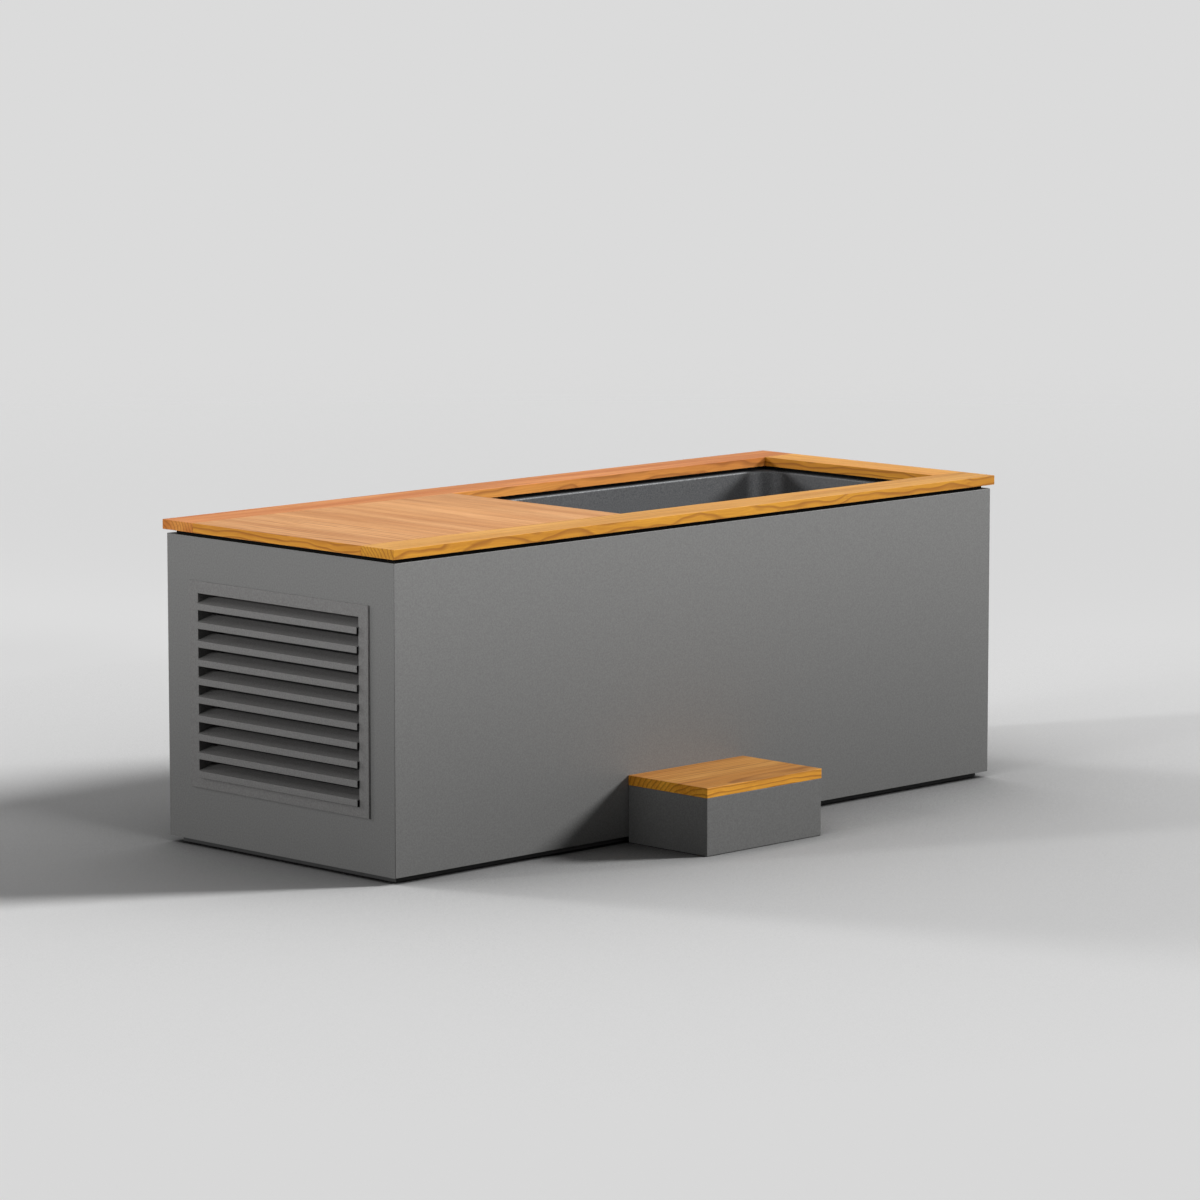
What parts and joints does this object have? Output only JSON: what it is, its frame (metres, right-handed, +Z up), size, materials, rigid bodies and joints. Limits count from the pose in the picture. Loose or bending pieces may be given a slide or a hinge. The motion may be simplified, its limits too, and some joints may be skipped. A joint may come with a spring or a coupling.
{
  "type": "cold plunge tub",
  "caption": "Clad cold plunge tub with a timber top, an insulated steel basin, a louvred cooling plant bay and a loose timber step.",
  "frame": {"origin": "on the floor under the middle of the cabinet", "axes": "+X along the cabinet from the louvred end to the tub end, +Y from the step's side to the rear, +Z up"},
  "size_m": [2.2045, 1.1343, 0.822],
  "materials": {
    "cladding": "fine textured powder coat",
    "grille": "fine textured powder coat",
    "timber": "oiled",
    "tread": "oiled",
    "batten": "planed",
    "spacer": "black",
    "base": "black",
    "frame": "primed",
    "board": "sealed plywood",
    "tub": "satin",
    "foam": "foam",
    "fitting": "moulded",
    "bright": "polished",
    "screen": "open foam",
    "sheet": "galvanised",
    "fins": "mill",
    "fan": "moulded",
    "motor": "painted",
    "compressor": "gloss black",
    "copper": "drawn copper",
    "white_plastic": "moulded",
    "rubber": "moulded",
    "filter_body": "moulded",
    "filter_media": "pleated",
    "lever": "moulded",
    "brass": "turned"
  },
  "bodies": {
    "cabinet": {"base_board": "base", "steel_frame": "frame", "bulkhead": "board", "front_cladding": "cladding", "rear_cladding": "cladding", "grille_end_cladding": "cladding", "tub_end_cladding": "cladding", "spacer_front": "spacer", "spacer_rear": "spacer", "spacer_tub_end": "spacer", "spacer_grille_end": "spacer", "front_rail": "timber", "rear_rail": "timber", "end_board": "timber", "bay_deck": "timber", "deck_battens": "batten", "tub_shell": "tub", "foam_jacket": "foam", "rim_seal": "spacer", "suction_fitting": "fitting", "suction_strainer": "fitting", "return_fitting": "fitting", "drain_fitting": "fitting", "drain_grid": "bright", "chiller_tray": "sheet", "chiller_case": "sheet", "condenser_coil": "fins", "fan_shroud": "fan", "fan_motor": "motor", "compressor": "compressor", "evaporator_barrel": "white_plastic", "refrigerant_lines": "copper", "control_box": "white_plastic", "rubber_mounts": "rubber", "circulation_pump": "motor", "filter_canister": "filter_body", "uv_chamber": "bright", "suction_pipe": "white_plastic", "pump_pipe": "white_plastic", "filter_pipe": "white_plastic", "return_pipe": "white_plastic", "drain_pipe": "white_plastic", "suction_valve": "white_plastic", "return_valve": "white_plastic", "drain_valve": "white_plastic", "cable_gland": "fitting"},
    "grille": {"grille_frame": "grille", "grille_blades": "grille", "dust_screen": "screen"},
    "fan": {"fan_rotor": "fan"},
    "suction_lever": {"suction_lever": "lever"},
    "return_lever": {"return_lever": "lever"},
    "drain_lever": {"drain_lever": "lever"},
    "filter_element": {"filter_cartridge": "filter_media"},
    "filter_lid": {"filter_lid": "filter_body"},
    "nozzle": {"return_nozzle": "bright"},
    "step": {"step_box": "cladding", "step_tread": "tread", "step_battens": "batten", "step_glides": "rubber"}
  },
  "joints": [
    {"name": "grille_pull_off", "type": "slide", "parent": "cabinet", "child": "grille", "axis": [-1, 0, 0], "range_m": [0, 0.15]},
    {"name": "fan_spin", "type": "hinge", "parent": "cabinet", "child": "fan", "pos_m": [-0.957, -0.145, 0.297], "axis": [1, 0, 0], "continuous": true},
    {"name": "suction_lever_turn", "type": "hinge", "parent": "cabinet", "child": "suction_lever", "pos_m": [-0.342, 0.18, 0.262], "axis": [0, 1, 0], "range_deg": [0, 90]},
    {"name": "return_lever_turn", "type": "hinge", "parent": "cabinet", "child": "return_lever", "pos_m": [-0.346, 0.1, 0.47], "axis": [0, 1, 0], "range_deg": [0, 90]},
    {"name": "drain_lever_turn", "type": "hinge", "parent": "cabinet", "child": "drain_lever", "pos_m": [-0.4, 0.278, 0.096], "axis": [0, 0, 1], "range_deg": [0, 90]},
    {"name": "filter_lift", "type": "slide", "parent": "cabinet", "child": "filter_element", "axis": [0, 0, 1], "range_m": [0, 0.325]},
    {"name": "filter_lid_turn", "type": "hinge", "parent": "filter_element", "child": "filter_lid", "pos_m": [-0.88, 0.27, 0.4], "axis": [0, 0, 1], "range_deg": [0, 45]},
    {"name": "nozzle_tilt", "type": "hinge", "parent": "cabinet", "child": "nozzle", "pos_m": [-0.1962, 0.1, 0.47092], "axis": [0, 1, 0], "range_deg": [-15, 15]},
    {"name": "step_away", "type": "slide", "parent": "cabinet", "child": "step", "axis": [0, -1, 0], "range_m": [0, 0.3]}
  ]
}
